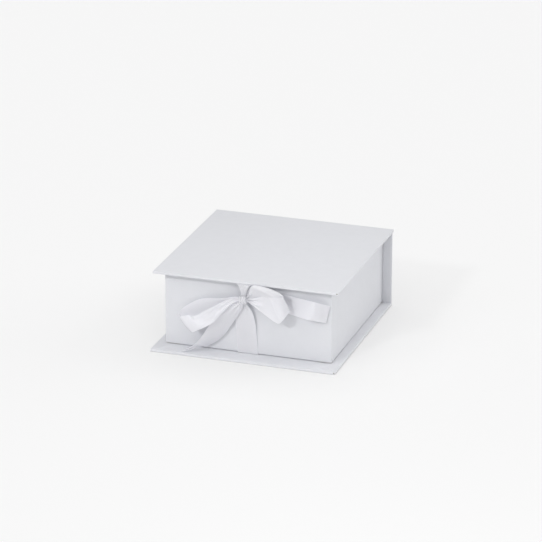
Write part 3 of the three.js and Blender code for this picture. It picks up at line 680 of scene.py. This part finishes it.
def make_knot():
    """The bow's knot: one gathered turn of the ribbon round the others."""
    around, across = 64, 36
    clear_selection()
    bpy.ops.mesh.primitive_grid_add(x_subdivisions=across, y_subdivisions=around, size=1)
    knot = start_piece("knot_turn")
    lean = Matrix.Rotation(-0.3, 3, "Y")
    for vertex in knot.data.vertices:
        s = vertex.co.x * 2
        turn = (vertex.co.y + 0.5) * 2 * math.pi
        pinch = 1 - 0.35 * s * s
        fold = 0.5 * math.cos(3.2 * math.pi * s + 0.9 * math.sin(2 * turn + 1))
        crumple = 0.3 * math.sin(5 * turn + 4 * s) * math.cos(3 * s + 2) + 0.2 * math.sin(9 * turn - 6 * s)
        radius = KNOT_RADIUS * pinch + fold + crumple + 0.3 * math.sin(turn * 2 + s)
        curl = 0 if abs(s) < 0.8 else (abs(s) - 0.8) * 9
        x = KNOT_HALF_WIDTH * math.sin(s * math.pi / 2 * 0.95)
        y = (radius - curl) * math.cos(turn) * 1.05
        z = (radius - curl) * math.sin(turn)
        vertex.co = (KNOT + lean @ Vector((x, y, z))) * MM
    layer = knot.data.uv_layers[0]
    layer.name = "ribbon"
    for corner in layer.data:
        corner.uv = (corner.uv.x * RIBBON_WIDTH * MM, corner.uv.y * KNOT_GIRTH * MM)
    bpy.ops.object.mode_set(mode="EDIT")
    bpy.ops.mesh.select_all(action="SELECT")
    bpy.ops.mesh.remove_doubles(threshold=0.02 * MM)
    bpy.ops.mesh.normals_make_consistent(inside=False)
    bpy.ops.object.mode_set(mode="OBJECT")
    thicken(knot, RIBBON, 0)
    smooth(knot, 80)
    dress(knot, satin, "root", "satin_ribbon", "bow_knot")


def make_bow():
    tie_ribbon("lower_run", "root", "lower_ribbon", (lower_left_edge, lower_right_edge), 100,
               "stretched", ["tray_wrap", "base_wrap"], phase=0.1)
    tie_ribbon("upper_run", "lid", "upper_ribbon", (upper_left_edge, upper_right_edge), 52,
               "gathered", ["lid_inside_paper"], pleats=4, phase=0.3, gather=0.4)
    tie_ribbon("left_loop", "root", "bow_left_loop", (left_loop_top, left_loop_foot), 142,
               "folded", ["knot_turn"], pleats=2, cup=1.2, gather=0.3,
               creases=[(0.76, 0, 0.91, 1, 1.8)])
    tie_ribbon("right_loop", "root", "bow_right_loop", (right_loop_top, right_loop_foot), 96,
               "folded", ["knot_turn"], pleats=2, gather=0.5,
               creases=[(0.12, 1, 0.46, 0.5, 3.0), (0.66, 0, 0.79, 1, -1.6)])
    tie_ribbon("left_tail", "root", "bow_left_tail", (left_tail_top, left_tail_foot), 86,
               "hung", ["knot_turn", "base_wrap"], cut=0.87, cup=-0.5, loose_end=True,
               creases=[(0.03, 0.6, 0.42, 1, -1.3)])
    tie_ribbon("right_tail", "root", "bow_right_tail", (right_tail_top, right_tail_foot), 90,
               "hung", ["knot_turn", "tray_wrap"], cut=0.93, cup=0.4, loose_end=True,
               creases=[(0.3, 0, 0.7, 0, 1.4)])
    make_knot()


# The boards and papers that keep their solids


def finish_nodes():
    boards = [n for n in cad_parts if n.endswith("_board") or n.endswith("_wall")]
    stays = [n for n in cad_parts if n.startswith("corner_stay")]
    for names, material in ((boards, greyboard), (stays, stay_tape), (["spine_lining"], lining_paper)):
        for name in names:
            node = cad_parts[name]
            node.data.materials.clear()
            node.data.materials.append(material)
    for name in boards:
        if name.startswith("tray"):
            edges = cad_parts[name].modifiers.new("pressed_edges", "BEVEL")
            edges.width = BOARD_ROUND * MM
            edges.segments = 3


# The studio


def make_floor():
    """The pale matt floor. Where the camera sees it, it partly shows its own white, with painted shade
    from ambient occlusion: a little darker round the box and a painted dark line where they meet."""
    clear_selection()
    bpy.ops.mesh.primitive_plane_add(size=FLOOR_SIZE, location=(0, 0, 0))
    floor = start_piece("floor")
    paint = new_material("matt_backdrop")
    matt = add_node(paint, "BsdfPrincipled", {
        "Base Color": linear("#f6f6f6"), "Roughness": 1, "Specular IOR Level": 0})
    # Painted shade: ambient occlusion darkens the floor's own white round the box, and paints a dark line
    # where the box meets the floor, in place of their shadow.
    around = add_node(paint, "AmbientOcclusion", {"Distance": PAINTED_HALO_REACH * MM}, samples=16)
    painted_halo = add_node(paint, "MapRange", {
        "Value": around.outputs["AO"], "From Min": 0.3, "To Min": 0.83})
    close = add_node(paint, "AmbientOcclusion", {"Distance": PAINTED_CONTACT_REACH * MM}, samples=16)
    line = add_node(paint, "MapRange", {"Value": close.outputs["AO"], "From Min": 0.3, "To Min": 0.45})
    white = add_node(paint, "Math", {0: painted_halo.outputs[0], 1: line.outputs[0]}, operation="MULTIPLY")
    glow = add_node(paint, "Emission", {"Color": linear("#f8f8f8"), "Strength": white.outputs[0]})
    seen = add_node(paint, "LightPath")
    mirrored = add_node(paint, "Math", {
        0: seen.outputs["Is Camera Ray"], 1: seen.outputs["Is Glossy Ray"]}, operation="MAXIMUM")
    bent = add_node(paint, "Math", {0: mirrored.outputs[0], 1: seen.outputs["Is Transmission Ray"]},
                    operation="MAXIMUM")
    share = add_node(paint, "Math", {0: bent.outputs[0], 1: BACKDROP_GLOW}, operation="MULTIPLY")
    backdrop = add_node(paint, "MixShader", {
        "Fac": share.outputs[0], 1: matt.outputs[0], 2: glow.outputs[0]})
    floor.data.materials.append(show(paint, backdrop))


def direction(azimuth, elevation):
    """The way out from the box, at an azimuth that is left of the front where it is negative."""
    a, e = math.radians(azimuth), math.radians(elevation)
    return Vector((math.sin(a) * math.cos(e), -math.cos(a) * math.cos(e), math.sin(e)))


def hang_lamp(name, lamp, source):
    """Turns a lamp so that its light comes from the source's direction."""
    light = bpy.data.objects.new(name, lamp)
    bpy.context.scene.collection.objects.link(light)
    light.rotation_euler = source.to_track_quat("Z", "Y").to_euler()
    return light


def add_sun(name, strength, azimuth, elevation, spread):
    """A soft lamp from far away."""
    lamp = bpy.data.lights.new(name, "SUN")
    lamp.energy = strength
    lamp.angle = math.radians(spread)
    hang_lamp(name, lamp, direction(azimuth, elevation))


def add_panel(name, watts, azimuth, elevation, away, size):
    """A square lamp that faces the box from close by, so that its light falls off across it."""
    lamp = bpy.data.lights.new(name, "AREA")
    lamp.energy = watts
    lamp.size = size
    source = direction(azimuth, elevation)
    light = hang_lamp(name, lamp, source)
    light.location = source * away
    light.visible_camera = False
    light.visible_glossy = False


def make_light():
    world = bpy.data.worlds.new("studio")
    world.use_nodes = True
    bpy.context.scene.world = world
    sky = world.node_tree.nodes["Background"]
    sky.inputs["Color"].default_value = linear("#ffffff")
    sky.inputs["Strength"].default_value = 0.36
    add_sun("key_left", 0.8, -22, 30, 6)
    add_sun("key_far_left", 0.2, -52, 33, 20)
    add_sun("fill_right", 0.96, 122, 20, 50)
    add_sun("top_front", 0.7, 10, 62, 60)
    add_sun("top_rear", 0.5, 190, 70, 60)
    add_panel("front_panel", 0.36, 26, 24, 0.8, 0.3)


def make_camera():
    camera = bpy.data.cameras.new("camera")
    camera.sensor_width = 36
    camera.lens = CAMERA_LENS
    camera.clip_start, camera.clip_end = 0.1, 30
    camera_object = bpy.data.objects.new("camera", camera)
    bpy.context.scene.collection.objects.link(camera_object)
    back = direction(CAMERA_AZIMUTH, CAMERA_ELEVATION)
    camera_object.location = CAMERA_PLACE
    camera_object.rotation_mode = "QUATERNION"
    camera_object.rotation_quaternion = (-back).to_track_quat("-Z", "Y")
    bpy.context.scene.camera = camera_object


make_camera()
make_light()
make_floor()
make_base_wrap()
make_spine_wrap()
make_lid_wrap()
make_hinge_paper()
make_tray_wrap()
make_tray_lining()
make_lid_lining()
make_bow()
finish_nodes()

bpy.context.scene.view_settings.view_transform = "Standard"
